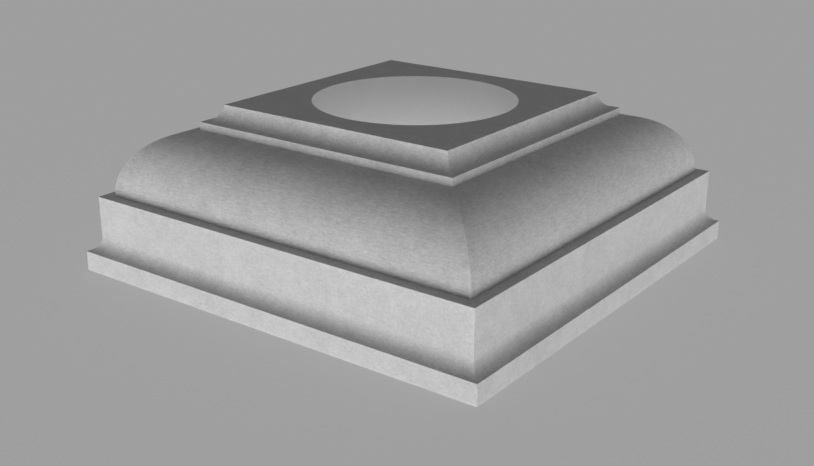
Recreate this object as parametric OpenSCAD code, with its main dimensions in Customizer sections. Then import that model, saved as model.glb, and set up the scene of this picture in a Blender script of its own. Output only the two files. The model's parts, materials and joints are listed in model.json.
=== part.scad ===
// Square column base in cast stone, a single casting.
// It slips over a round column shaft and stands on its own flat underside.
// The same moulding runs round all four sides and is mitred at the corners.
// Origin: centre of the underside. +Z is up. All sizes are in millimetres.
// From the bottom up, the members are the foot, a cove, the plinth, a ledge,
// the ovolo, the fillet, a second cove and the flat cap.

/* [Column] */
// Diameter of the round column shaft that passes through the base
column_d = 250; // [150:1:400]
// Open joint left all round between the shaft and the bore
column_joint = 6; // [2:0.5:15]

/* [Cap] */
// Stone left between the bore and the middle of each side of the cap
cap_wall = 39; // [20:1:90]
// Radius of the quarter-round cove that flares out below the cap
cap_cove_r = 21; // [10:0.5:40]

/* [Fillet] */
// Height of the fillet's upright face above the crown of the ovolo
fillet_h = 10.5; // [4:0.5:25]
// Width of the flat step between the cove's foot and the fillet's arris
fillet_step = 1; // [0.5:0.5:8]
// How far the fillet stands out past the point where the ovolo starts to fall
fillet_overhang = 3.5; // [0.5:0.5:12]

/* [Ovolo] */
// Radius of the large quarter-round
ovolo_r = 82; // [40:1:130]

/* [Plinth] */
// Height from the top of the foot to the top of the plinth
plinth_h = 72.5; // [40:0.5:140]
// Width of the flat ledge between the foot of the ovolo and the plinth's face
ledge_w = 14.5; // [5:0.5:30]

/* [Foot] */
// Height of the foot's upright face
foot_h = 26; // [12:1:60]
// How far the foot stands out past the plinth's face
foot_projection = 15; // [6:0.5:24]
// Radius of the hollow between plinth and foot, at least the foot's projection
foot_cove_r = 19; // [15:0.5:30]

/* [Hidden] */

// Segments in a full circle of any arc
$fn = 128;
// How far a cutting shape runs past the face that it cuts
overrun = 10;

bore_r = column_d / 2 + column_joint;

// Half-widths of the members, worked outwards from the bore
cap_half = bore_r + cap_wall;
fillet_half = cap_half + cap_cove_r + fillet_step;
ovolo_centre = fillet_half - fillet_overhang;
plinth_half = ovolo_centre + ovolo_r + ledge_w;
foot_half = plinth_half + foot_projection;

// Heights of the members, worked upwards from the underside
plinth_top = foot_h + plinth_h;
ovolo_top = plinth_top + ovolo_r;
fillet_top = ovolo_top + fillet_h;
base_h = fillet_top + cap_cove_r;

// The hollow over the foot leaves the plinth's face upright and ends at the foot's arris,
// so its centre stands one radius out from the plinth and this far above the foot.
hollow_r = max(foot_cove_r, foot_projection);
hollow_rise = sqrt(pow(hollow_r, 2) - pow(hollow_r - foot_projection, 2));

// A plain band from the centre line out to half_w, between two heights
module member(half_w, z_low, z_high) {
    translate([0, z_low])
        square([half_w, z_high - z_low]);
}

// The foot and the stone behind its hollow, which is cut to an arc
module foot() {
    difference() {
        member(foot_half, 0, foot_h + hollow_rise);
        translate([plinth_half + hollow_r, foot_h + hollow_rise])
            circle(r = hollow_r);
    }
}

// The cap, whose cove starts upright at the top edge and ends level on the fillet
module cap() {
    difference() {
        member(cap_half + cap_cove_r, ovolo_top, base_h);
        translate([cap_half + cap_cove_r, base_h])
            circle(r = cap_cove_r);
    }
}

// The ovolo, a quarter-round that rises upright from the ledge, and the core behind it
module ovolo() {
    intersection() {
        translate([ovolo_centre, plinth_top])
            circle(r = ovolo_r);
        member(ovolo_centre + ovolo_r, plinth_top, ovolo_top);
    }
    member(ovolo_centre, plinth_top, ovolo_top);
}

// Half of the moulding's section, with the centre line at x = 0
module half_section() {
    foot();
    member(plinth_half, 0, plinth_top);
    ovolo();
    member(fillet_half, plinth_top, fillet_top);
    cap();
}

module section() {
    half_section();
    mirror([1, 0])
        half_section();
}

// The whole section carried straight through, longer than the base is wide
module moulding_run() {
    rotate([90, 0, 0])
        linear_extrude(height = 2 * (foot_half + overrun), center = true)
            section();
}

module column_base() {
    color("#bdbdbb")
        difference() {
            // Two runs that cross at a right angle share a square mass with mitred corners
            intersection() {
                moulding_run();
                rotate([0, 0, 90])
                    moulding_run();
            }
            translate([0, 0, -overrun])
                cylinder(r = bore_r, h = base_h + 2 * overrun);
        }
}

column_base();
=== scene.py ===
import json
import math

import bpy
import numpy as np
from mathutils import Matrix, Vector


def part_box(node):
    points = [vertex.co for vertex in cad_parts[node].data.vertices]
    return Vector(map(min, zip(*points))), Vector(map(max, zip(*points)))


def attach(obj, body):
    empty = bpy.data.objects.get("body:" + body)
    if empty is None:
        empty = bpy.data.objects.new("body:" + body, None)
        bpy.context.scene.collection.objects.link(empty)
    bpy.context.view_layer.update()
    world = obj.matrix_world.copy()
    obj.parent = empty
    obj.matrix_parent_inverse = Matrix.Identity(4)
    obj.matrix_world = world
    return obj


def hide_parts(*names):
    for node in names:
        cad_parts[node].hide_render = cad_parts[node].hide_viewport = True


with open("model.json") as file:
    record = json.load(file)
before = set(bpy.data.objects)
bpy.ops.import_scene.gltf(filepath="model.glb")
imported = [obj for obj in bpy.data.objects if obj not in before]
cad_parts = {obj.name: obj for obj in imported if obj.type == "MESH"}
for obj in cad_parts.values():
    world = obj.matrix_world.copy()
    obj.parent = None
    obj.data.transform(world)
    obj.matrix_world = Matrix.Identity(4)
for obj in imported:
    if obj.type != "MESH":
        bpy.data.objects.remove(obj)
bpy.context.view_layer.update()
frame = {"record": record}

# A square column base in cast stone, on a plain floor in soft studio light.
# The casting is one closed surface: the moulding's section, eased at each arris, is carried
# round the square plan, in over the cap, down the round bore and out under the foot.
# Lengths are in metres, in the frame's axes, with the bore upright on Z.

MM = 0.001

# --- Sizes of the casting --------------------------------------------------------------

high_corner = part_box("column_base")[1]
shaft_bore = next(m for m in frame["record"]["mounts"] if m["name"] == "shaft_bore")

FOOT_HALF = high_corner.x
BASE_H = high_corner.z
BORE_R = shaft_bore["dims"]["r_mm"] * MM

# Members of the moulding, from the foot upwards and inwards
FOOT_H = 26 * MM
FOOT_PROJECTION = 15 * MM
FOOT_COVE_R = 19 * MM
PLINTH_H = 72.5 * MM
LEDGE_W = 14.5 * MM
OVOLO_R = 82 * MM
FILLET_OVERHANG = 3.5 * MM
FILLET_STEP = 1 * MM
CAP_COVE_R = 21 * MM

# Half-widths and heights that follow from them
PLINTH_HALF = FOOT_HALF - FOOT_PROJECTION
OVOLO_CENTRE = PLINTH_HALF - LEDGE_W - OVOLO_R
FILLET_HALF = OVOLO_CENTRE + FILLET_OVERHANG
COVE_CENTRE = FILLET_HALF - FILLET_STEP
CAP_HALF = COVE_CENTRE - CAP_COVE_R
PLINTH_TOP = FOOT_H + PLINTH_H
FILLET_TOP = BASE_H - CAP_COVE_R

# Length over which an arris is eased to each side of it, and the same in an inner corner
ARRIS_EASE = 0.7 * MM
INNER_EASE = 0.5 * MM
# Radius of the upright corners in plan
CORNER_R = 0.6 * MM
# Depth of the long, faint unevenness that the mould leaves in the faces
UNEVEN_DEPTH = 0.25 * MM

# --- Density of the mesh ---------------------------------------------------------------

# Rings along the section, and the widest gap between two of them on a flat
RINGS = 232
FLAT_GAP = 8 * MM
# Points along one side of the plan, and between two sides round a corner
SIDE_POINTS = 92
CORNER_POINTS = 5
# How strongly a side's points crowd towards its two ends, from 0 to 1
END_CROWDING = 0.8
# Step at which the section is worked out before its rings are chosen
FINE_STEP = 0.05 * MM
# Length over which the crowding of rings at a bend is spread
CROWDING_SPREAD = 1.6 * MM

# --- Finish of the stone ---------------------------------------------------------------

# Widths of the marks in it. The real grain is finer than 1 mm, and is drawn as coarse as
# it needs to show from where the whole base is seen.
CLOUD_SIZE = 70 * MM
PATCH_SIZE = 16 * MM
GRAIN_SIZE = 3 * MM
FINE_GRAIN_SIZE = 1.3 * MM
GRIT_SIZE = 2.2 * MM
DRAW_MARK_W = 1.7 * MM
DRAW_MARK_L = 15 * MM
# How far the painted highlight that makes an arris pale reaches
ARRIS_HIGHLIGHT_REACH = 1.6 * MM
# How fully the sandy tooth shows in the bore, which a smooth tube formed; it is 1 outside
BORE_TOOTH = 0.25
# How strong the draw marks are on the foot and plinth, on the ovolo, which drags the most as it
# leaves the mould, and on the fillet and cap
PLINTH_DRAG = 0.6
OVOLO_DRAG = 1.35
CAP_DRAG = 1.1
# The stone's two tones, and how far each thing swings it between them
DARK_STONE = "#aeaeae"
PALE_STONE = "#d4d4d4"
CLOUD_TONE = 0.55
PATCH_TONE = 0.5
GRAIN_TONE = 0.65
GRIT_TONE = 0.25
# The arrises' share is a painted highlight: it makes the stone paler along them
ARRIS_HIGHLIGHT_TONE = 0.12
# Depth of the relief that each gives, in millimetres
PATCH_RELIEF = 0.2
GRAIN_RELIEF = 0.08
FINE_GRAIN_RELIEF = 0.04
GRIT_RELIEF = 0.01
MARK_RELIEF = 0.08
# Roughness of the stone, and what the grain and the clouds add to it
ROUGHNESS = 0.79
GRAIN_ROUGHNESS = 0.12
CLOUD_ROUGHNESS = 0.06
STONE_IOR = 1.5
# Names of the mesh's own layers that the finish follows
RUN_MAP = "run"
# The arris layer carries the painted highlight along the arrises
ARRIS_LAYER = "arris"
TOOTH_LAYER = "tooth"
DRAG_LAYER = "drag"

# --- Studio ----------------------------------------------------------------------------

BACKDROP = "#9f9f9f"
FLOOR_PAPER = "#808080"
# How far the floor reaches each way from the middle
FLOOR_REACH = 14
# Share of the backdrop's tone that the floor has by itself
FLOOR_GLOW = 0.87
# Light from every direction, and what the belt adds to it
DIM_LIGHT = 0.235
BELT_LIGHT = 2.64
# The belt's two edges and half the width of their fading, as heights on a unit sphere
BELT_LOW = -0.60
BELT_HIGH = -0.05
BELT_EDGE = 0.05
# Bearing that the belt is brightest towards, clockwise from the front, and by how much
KEY_BEARING = -30
KEY_LEAN = 0.28
# The lamp in the foot of the bore: its radius and its power in watts
BORE_LAMP_R = 30 * MM
BORE_LAMP_POWER = 0.24
# Camera: the point it aims at, its distance from there, its bearing clockwise from the front,
# how far it looks down and how far it leans to one side, in degrees, and its lens in mm
CAMERA_AIM = (0, -0.0167, 0.0342)
CAMERA_DISTANCE = 1.507
CAMERA_BEARING = 36.925
CAMERA_FALL = 20.31
CAMERA_LEAN = 0.08
CAMERA_LENS = 50.69
SENSOR_WIDTH = 36


# --- The casting's shape ---------------------------------------------------------------

def arc(centre, radius, start, end):
    """Points on a circle about centre, from start to end degrees and about a degree apart."""
    turn = np.radians(np.linspace(start, end, 1 + math.ceil(abs(end - start))))
    return np.array(centre) + radius * np.stack([np.cos(turn), np.sin(turn)], axis=1)


def sharp_section():
    """The true section as (half-width, height) stretches, each with the ease at its end.

    It starts halfway down the bore, goes out under the foot, climbs the moulding, comes in
    over the cap and goes back down the bore."""
    bore_middle = [BORE_R, BASE_H / 2]
    cove_reach = PLINTH_HALF + FOOT_COVE_R - FOOT_HALF
    cove_foot = math.degrees(math.acos(cove_reach / FOOT_COVE_R))
    cove_centre = [PLINTH_HALF + FOOT_COVE_R, FOOT_H + math.sqrt(FOOT_COVE_R**2 - cove_reach**2)]
    ovolo_end = math.degrees(math.acos(FILLET_OVERHANG / OVOLO_R))
    ovolo = arc([OVOLO_CENTRE, PLINTH_TOP], OVOLO_R, 0, ovolo_end)
    cap_cove = arc([COVE_CENTRE, BASE_H], CAP_COVE_R, 270, 180)
    foot_cove = arc(cove_centre, FOOT_COVE_R, 180 + cove_foot, 180)
    stretches = [
        ([bore_middle, [BORE_R, 0]], ARRIS_EASE),
        ([[BORE_R, 0], [FOOT_HALF, 0]], ARRIS_EASE),
        ([[FOOT_HALF, 0], [FOOT_HALF, FOOT_H]], ARRIS_EASE),
        ([*foot_cove, [PLINTH_HALF, PLINTH_TOP]], ARRIS_EASE),
        ([[PLINTH_HALF, PLINTH_TOP], ovolo[0]], INNER_EASE),
        (ovolo, INNER_EASE),
        ([ovolo[-1], [FILLET_HALF, FILLET_TOP]], ARRIS_EASE),
        ([[FILLET_HALF, FILLET_TOP], *cap_cove], ARRIS_EASE),
        ([cap_cove[-1], [BORE_R, BASE_H]], ARRIS_EASE),
        ([[BORE_R, BASE_H], bore_middle], ARRIS_EASE),
    ]
    return [(np.array(points), ease) for points, ease in stretches]


def length_along(points):
    """Length along a line of points, from 0 at the first."""
    return np.concatenate([[0], np.cumsum(np.linalg.norm(np.diff(points, axis=0), axis=1))])


def columns_at(places, known_places, values):
    """Each column of values, read at places between the known ones by straight lines."""
    return np.stack([np.interp(places, known_places, column) for column in values.T], axis=1)


def eased_section():
    """Rings of the eased section: their (half-width, height), their lengths along it with the
    first again at the end, and the lengths of its corners.

    An eased point is the mean of the sharp section over a short length to each side of it, so
    a straight stays put, and a corner turns into a small round that lies inside the sharp one.
    The gap between two rings goes with the square root of the radius there, so that every
    chord is about as true."""
    stretches = sharp_section()
    ends = np.cumsum([length_along(points)[-1] for points, ease in stretches])
    corners = ends[:-1]
    path = np.concatenate([points for points, ease in stretches])
    steps = round(ends[-1] / FINE_STEP)
    step = ends[-1] / steps
    fine = np.arange(steps) * step
    sharp = columns_at(fine, length_along(path), path)
    # The section comes back to where it starts, so its running sum is carried on past both ends
    summed = np.cumsum(np.concatenate([sharp, sharp, sharp]), axis=0) * step
    summed_places = (np.arange(3 * steps) + 0.5 - steps) * step
    ease = np.interp(fine, corners, [ease for points, ease in stretches[:-1]])
    ahead = columns_at(fine + ease, summed_places, summed)
    behind = columns_at(fine - ease, summed_places, summed)
    eased = (ahead - behind) / (2 * ease[:, None])

    run = np.gradient(eased, step, axis=0)
    bend = np.abs(np.gradient(np.unwrap(np.arctan2(run[:, 1], run[:, 0])), step))
    window = round(CROWDING_SPREAD / step)
    crowding = np.sqrt(np.convolve(bend, np.ones(window) / window, mode="same"))
    crowding *= (RINGS - ends[-1] / FLAT_GAP) / (crowding.sum() * step)
    counted = np.cumsum(1 / FLAT_GAP + crowding) * step
    places = np.interp(np.arange(RINGS) + 0.5, counted, fine)
    return columns_at(places, fine, eased), np.append(places, places[0] + ends[-1]), corners


def square_plan():
    """A square ring in two parts, spine and outward, whose points are
    (half-width - CORNER_R) * spine + CORNER_R * outward.

    The spine runs round the square of half-width 1 and waits at its corners. Outward is the
    side's own normal and turns through each corner, which rounds it to CORNER_R."""
    even = np.linspace(-1, 1, SIDE_POINTS)
    along = (1 - END_CROWDING) * even + END_CROWDING * np.sin(even * math.pi / 2)
    turn = np.linspace(0, math.pi / 2, CORNER_POINTS + 2)[1:-1]
    side = np.stack([np.ones(SIDE_POINTS), along], axis=1)
    spine = np.concatenate([side, np.ones((CORNER_POINTS, 2))])
    square_on = np.tile([1.0, 0.0], (SIDE_POINTS, 1))
    outward = np.concatenate([square_on, np.stack([np.cos(turn), np.sin(turn)], axis=1)])
    quarter = np.array([[0, 1], [-1, 0]])
    turns = [np.linalg.matrix_power(quarter, k) for k in range(4)]
    return [np.concatenate([part @ t for t in turns]) for part in (spine, outward)]


def unevenness(points):
    """How far the cast face lies below its true one, from 0 to 1: the mean of a few long waves
    that cross the stone in different directions."""
    rng = np.random.default_rng(11)
    waves = 7
    heading = rng.normal(size=(waves, 3))
    heading /= np.linalg.norm(heading, axis=1)[:, None]
    wavelength = rng.uniform(38 * MM, 95 * MM, waves)
    phase = rng.uniform(0, 2 * math.pi, waves)
    swing = np.sin(points @ (heading.T * 2 * math.pi / wavelength) + phase)
    return 0.5 - swing.mean(axis=-1) / 2


def outward_normals(points):
    """Unit normals of a grid that closes on itself both ways, from each point's neighbours."""
    along = np.roll(points, -1, axis=0) - np.roll(points, 1, axis=0)
    around = np.roll(points, -1, axis=1) - np.roll(points, 1, axis=1)
    normal = np.cross(around, along)
    return normal / np.linalg.norm(normal, axis=-1, keepdims=True)


def casting_points(rings, places, corners):
    """The casting as a grid of points, rings by places round the plan.

    Outside, a ring is the square plan at the section's half-width. In the bore it is a circle
    of that radius. Over the cap and under the foot it turns from one into the other, in step
    with the length along the section. Last, the faces sink by their unevenness."""
    spine, outward = square_plan()
    half_width = rings[:, None, :1]
    square = (half_width - CORNER_R) * spine + CORNER_R * outward
    cap_x, cap_y = ((CAP_HALF - CORNER_R) * spine + CORNER_R * outward).T
    bearing = np.arctan2(cap_y, cap_x)
    circle = half_width * np.stack([np.cos(bearing), np.sin(bearing)], axis=1)
    margin = 2 * ARRIS_EASE
    bore_foot, foot_edge, cap_arris, bore_arris = corners[[0, 1, -2, -1]]
    turning = [bore_foot + margin, foot_edge - margin, cap_arris + margin, bore_arris - margin]
    roundness = np.interp(places[:-1], turning, [1, 0, 0, 1])[:, None, None]
    plan = (1 - roundness) * square + roundness * circle
    height = np.broadcast_to(rings[:, None, 1:], (*plan.shape[:2], 1))
    points = np.concatenate([plan, height], axis=2)
    return points - outward_normals(points) * unevenness(points)[..., None] * UNEVEN_DEPTH


def nearness_to_arris(rings, places, corners):
    """1 on an outer arris or an upright corner, falling to 0 by the bell curve of the distance
    to the nearest one. Over the cap and in the bore there are no upright corners."""
    # This closeness to an arris is the mask of the painted highlight along the arrises
    outer = corners[[1, 2, 3, 6, 7, 8]]
    up_section = np.abs(places[:-1, None] - outer).min(axis=1)[:, None]
    spine, outward = square_plan()
    round_plan = (1 - np.abs(spine).min(axis=1)) * rings[:, :1]
    on_moulding = (places[:-1] > corners[1]) & (places[:-1] < corners[-2])
    nearest = np.where(on_moulding[:, None], np.minimum(up_section, round_plan), up_section)
    return np.exp(-(nearest / ARRIS_HIGHLIGHT_REACH) ** 2)


def along_section(places, corners, at_corners):
    """A strength for each ring, by straight lines between those at the section's corners."""
    return np.interp(places[:-1], corners, at_corners)[:, None]


def grid_mesh(name, points, run, across):
    """A smooth mesh of quads on a grid that closes on itself both ways. Its UV map holds the
    length round the plan and the length along the section, in metres."""
    rows, columns = points.shape[:2]
    index = np.arange(rows * columns).reshape(rows, columns)
    above = np.roll(index, -1, axis=0)
    corners = [index, np.roll(index, -1, axis=1), np.roll(above, -1, axis=1), above]
    quads = np.stack(corners, axis=-1)
    mesh = bpy.data.meshes.new(name)
    mesh.from_pydata(points.reshape(-1, 3), [], quads.reshape(-1, 4))
    mesh.polygons.foreach_set("use_smooth", np.ones(rows * columns, bool))
    u = np.stack([run[:-1], run[1:], run[1:], run[:-1]], axis=1)
    v = np.stack([across[:-1], across[:-1], across[1:], across[1:]], axis=1)
    uv = np.stack(np.broadcast_arrays(u[None], v[:, None]), axis=-1)
    mesh.uv_layers.new(name=RUN_MAP).data.foreach_set("uv", uv.astype(np.float32).ravel())
    mesh.update()
    return mesh


def column_base():
    """The casting: one closed skin, with the bore through it."""
    rings, places, corners = eased_section()
    points = casting_points(rings, places, corners)
    foot_ring = points[np.argmax(rings[:, 0])]
    run = length_along(np.concatenate([foot_ring, foot_ring[:1]]))
    mesh = grid_mesh("column_base_stone", points, run, places)
    tooth = [BORE_TOOTH, *[1] * 7, BORE_TOOTH]
    drag = [0, *[PLINTH_DRAG] * 3, *[OVOLO_DRAG] * 2, *[CAP_DRAG] * 2, 0]
    layers = {
        ARRIS_LAYER: nearness_to_arris(rings, places, corners),
        TOOTH_LAYER: along_section(places, corners, tooth),
        DRAG_LAYER: along_section(places, corners, drag),
    }
    for name, strength in layers.items():
        at_points = np.broadcast_to(strength, points.shape[:2]).astype(np.float32)
        mesh.attributes.new(name, "FLOAT", "POINT").data.foreach_set("value", at_points.ravel())
    return add_to_scene(bpy.data.objects.new("column_base_stone", mesh))


def add_to_scene(thing):
    """Links an object to the scene and gives it back."""
    bpy.context.scene.collection.objects.link(thing)
    return thing


# --- Materials -------------------------------------------------------------------------

def linear(hex_colour):
    """An sRGB hex colour as linear red, green and blue, with full alpha."""
    channels = [int(hex_colour[i:i + 2], 16) / 255 for i in (1, 3, 5)]
    return [c / 12.92 if c <= 0.04045 else ((c + 0.055) / 1.055) ** 2.4 for c in channels] + [1.0]


def add_node(tree, kind, inputs, **settings):
    """Adds a node with its settings. Each of its inputs takes a value, or a link from a socket."""
    node = tree.nodes.new(kind)
    for name, value in settings.items():
        setattr(node, name, value)
    for name, value in inputs.items():
        if isinstance(value, bpy.types.NodeSocket):
            tree.links.new(value, node.inputs[name])
        else:
            node.inputs[name].default_value = value
    return node


def new_material(name):
    """A material with an empty node tree, and that tree."""
    material = bpy.data.materials.new(name)
    material.use_nodes = True
    material.node_tree.nodes.clear()
    return material, material.node_tree


def cast_stone():
    """Cast stone: sand and crushed limestone in pale cement, tamped into a mould.

    To the eye it is a matt, even, neutral grey with a fine sandy grain, soft clouding where
    the mix was damper and faint draw marks along the moulding; a painted highlight makes the arrises a
    little pale."""
    material, tree = new_material("cast_stone")
    place = add_node(tree, "ShaderNodeTexCoord", {}).outputs["Object"]
    on_run = add_node(tree, "ShaderNodeUVMap", {}, uv_map=RUN_MAP).outputs["UV"]
    arris, tooth, drag = [
        add_node(tree, "ShaderNodeAttribute", {}, attribute_name=layer).outputs["Fac"]
        for layer in (ARRIS_LAYER, TOOTH_LAYER, DRAG_LAYER)
    ]

    def noise(size, detail, vector=place):
        inputs = {"Vector": vector, "Scale": 1 / size, "Detail": detail, "Roughness": 0.6}
        return add_node(tree, "ShaderNodeTexNoise", inputs).outputs["Fac"]

    def weighted(parts, start):
        total = start
        for part, weight in parts:
            inputs = {0: part, 1: weight, 2: total}
            total = add_node(tree, "ShaderNodeMath", inputs, operation="MULTIPLY_ADD").outputs["Value"]
        return total

    # Draw marks are long along the run and narrow across it
    stretched = {"Vector": on_run, "Scale": (DRAW_MARK_W / DRAW_MARK_L, 1, 1)}
    mark_place = add_node(tree, "ShaderNodeMapping", stretched).outputs["Vector"]
    clouds = noise(CLOUD_SIZE, 3)
    patches = noise(PATCH_SIZE, 2)
    grain = noise(GRAIN_SIZE, 2)
    fine_grain = noise(FINE_GRAIN_SIZE, 1)
    marks = noise(DRAW_MARK_W, 2, mark_place)
    cells = {"Vector": place, "Scale": 1 / GRIT_SIZE}
    grit = add_node(tree, "ShaderNodeTexVoronoi", cells).outputs["Color"]
    grit = add_node(tree, "ShaderNodeSeparateColor", {"Color": grit}).outputs["Red"]

    # Each part varies about a half, so half of its weight is taken off to keep the mean
    marks = add_node(tree, "ShaderNodeMath", {0: marks, 1: 0.5}, operation="SUBTRACT").outputs["Value"]
    marks = add_node(tree, "ShaderNodeMath", {0: marks, 1: drag}, operation="MULTIPLY").outputs["Value"]
    parts = [(clouds, CLOUD_TONE), (patches, PATCH_TONE), (grain, GRAIN_TONE), (grit, GRIT_TONE)]
    sandy = weighted(parts, -sum(weight for part, weight in parts) / 2)
    inputs = {0: sandy, 1: tooth, 2: 0.5}
    tone = add_node(tree, "ShaderNodeMath", inputs, operation="MULTIPLY_ADD").outputs["Value"]
    # Draw marks, then a painted highlight that makes the stone paler along the arrises
    tone = weighted([(marks, 1.0), (arris, ARRIS_HIGHLIGHT_TONE)], tone)
    colours = {0: tone, 6: linear(DARK_STONE), 7: linear(PALE_STONE)}
    colour = add_node(tree, "ShaderNodeMix", colours, data_type="RGBA").outputs[2]
    roughness = weighted([(grain, GRAIN_ROUGHNESS), (clouds, CLOUD_ROUGHNESS)], ROUGHNESS)

    relief = [(grain, GRAIN_RELIEF), (fine_grain, FINE_GRAIN_RELIEF), (grit, GRIT_RELIEF),
              (marks, MARK_RELIEF), (patches, PATCH_RELIEF)]
    height = weighted(relief, 0.0)
    bump = add_node(tree, "ShaderNodeBump", {"Height": height, "Distance": MM, "Strength": tooth})
    inputs = {"Base Color": colour, "Roughness": roughness, "IOR": STONE_IOR,
              "Normal": bump.outputs["Normal"]}
    surface = add_node(tree, "ShaderNodeBsdfPrincipled", inputs).outputs["BSDF"]
    add_node(tree, "ShaderNodeOutputMaterial", {"Surface": surface})
    return material


def studio_floor():
    """Matt floor paper with a glow of its own, so that the stone throws only a faint shade."""
    material, tree = new_material("floor_paper")
    paper = add_node(tree, "ShaderNodeBsdfDiffuse", {"Color": linear(FLOOR_PAPER)}).outputs["BSDF"]
    glow = add_node(tree, "ShaderNodeEmission", {"Color": linear(BACKDROP), "Strength": FLOOR_GLOW})
    both = add_node(tree, "ShaderNodeAddShader", {0: paper, 1: glow.outputs["Emission"]})
    add_node(tree, "ShaderNodeOutputMaterial", {"Surface": both.outputs["Shader"]})
    return material


# --- Studio ----------------------------------------------------------------------------

def floor():
    """A wide flat floor under the foot. It hides the light below it from the camera alone."""
    corners = [(-1, -1, 0), (1, -1, 0), (1, 1, 0), (-1, 1, 0)]
    mesh = bpy.data.meshes.new("floor")
    mesh.from_pydata(FLOOR_REACH * np.array(corners), [], [(0, 1, 2, 3)])
    mesh.materials.append(studio_floor())
    thing = add_to_scene(bpy.data.objects.new("floor", mesh))
    thing.visible_diffuse = False
    thing.visible_glossy = False
    thing.visible_shadow = False


def studio_light():
    """Soft light from all round: dim everywhere, bright in a broad belt just below the floor's
    level, which lights the upright faces most and leaves the level ones dark. The belt is a
    little brighter towards KEY_BEARING."""
    world = bpy.data.worlds.new("studio")
    world.use_nodes = True
    tree = world.node_tree
    tree.nodes.clear()
    heading = add_node(tree, "ShaderNodeTexCoord", {}).outputs["Generated"]
    rise = add_node(tree, "ShaderNodeSeparateXYZ", {"Vector": heading}).outputs["Z"]
    edge = {"interpolation_type": "SMOOTHSTEP"}
    lower = {"Value": rise, "From Min": BELT_LOW - BELT_EDGE, "From Max": BELT_LOW + BELT_EDGE}
    upper = {"Value": rise, "From Min": BELT_HIGH + BELT_EDGE, "From Max": BELT_HIGH - BELT_EDGE}
    above_lower = add_node(tree, "ShaderNodeMapRange", lower, **edge).outputs["Result"]
    below_upper = add_node(tree, "ShaderNodeMapRange", upper, **edge).outputs["Result"]
    within = {0: above_lower, 1: below_upper}
    belt = add_node(tree, "ShaderNodeMath", within, operation="MULTIPLY").outputs["Value"]
    bearing = math.radians(KEY_BEARING)
    key = {0: heading, 1: (math.sin(bearing), -math.cos(bearing), 0)}
    towards_key = add_node(tree, "ShaderNodeVectorMath", key, operation="DOT_PRODUCT").outputs["Value"]
    lean = {0: towards_key, 1: BELT_LIGHT * KEY_LEAN, 2: BELT_LIGHT}
    belt_light = add_node(tree, "ShaderNodeMath", lean, operation="MULTIPLY_ADD").outputs["Value"]
    total = {0: belt, 1: belt_light, 2: DIM_LIGHT}
    strength = add_node(tree, "ShaderNodeMath", total, operation="MULTIPLY_ADD")
    light = add_node(tree, "ShaderNodeBackground", {"Strength": strength.outputs["Value"]})
    backdrop = add_node(tree, "ShaderNodeBackground", {"Color": linear(BACKDROP)})
    seen = add_node(tree, "ShaderNodeLightPath", {}).outputs["Is Camera Ray"]
    inputs = {0: seen, 1: light.outputs["Background"], 2: backdrop.outputs["Background"]}
    both = add_node(tree, "ShaderNodeMixShader", inputs)
    add_node(tree, "ShaderNodeOutputWorld", {"Surface": both.outputs["Shader"]})
    bpy.context.scene.world = world


def bore_lamp():
    """A small disc lamp on the floor in the middle of the bore. It lights the bore's wall evenly,
    from below."""
    data = bpy.data.lights.new("bore_lamp", "AREA")
    data.shape = "DISK"
    data.size = 2 * BORE_LAMP_R
    data.energy = BORE_LAMP_POWER
    thing = add_to_scene(bpy.data.objects.new("bore_lamp", data))
    thing.location = (0, 0, MM)
    thing.rotation_euler = (math.pi, 0, 0)
    thing.visible_camera = False


def camera():
    """A camera in front of one corner, above the stone and looking down on it."""
    data = bpy.data.cameras.new("camera")
    data.sensor_width = SENSOR_WIDTH
    data.lens = CAMERA_LENS
    thing = add_to_scene(bpy.data.objects.new("camera", data))
    bearing = math.radians(CAMERA_BEARING)
    fall = math.radians(CAMERA_FALL)
    level = math.cos(fall)
    back = Vector((math.sin(bearing) * level, -math.cos(bearing) * level, math.sin(fall)))
    thing.location = Vector(CAMERA_AIM) + back * CAMERA_DISTANCE
    thing.rotation_euler = (math.pi / 2 - fall, 0, bearing)
    thing.rotation_euler.rotate_axis("Z", math.radians(CAMERA_LEAN))
    bpy.context.scene.camera = thing


camera()
floor()
studio_light()
bore_lamp()
bpy.context.scene.view_settings.view_transform = "Standard"

stone = column_base()
stone.data.materials.append(cast_stone())
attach(stone, "root")
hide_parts("column_base")
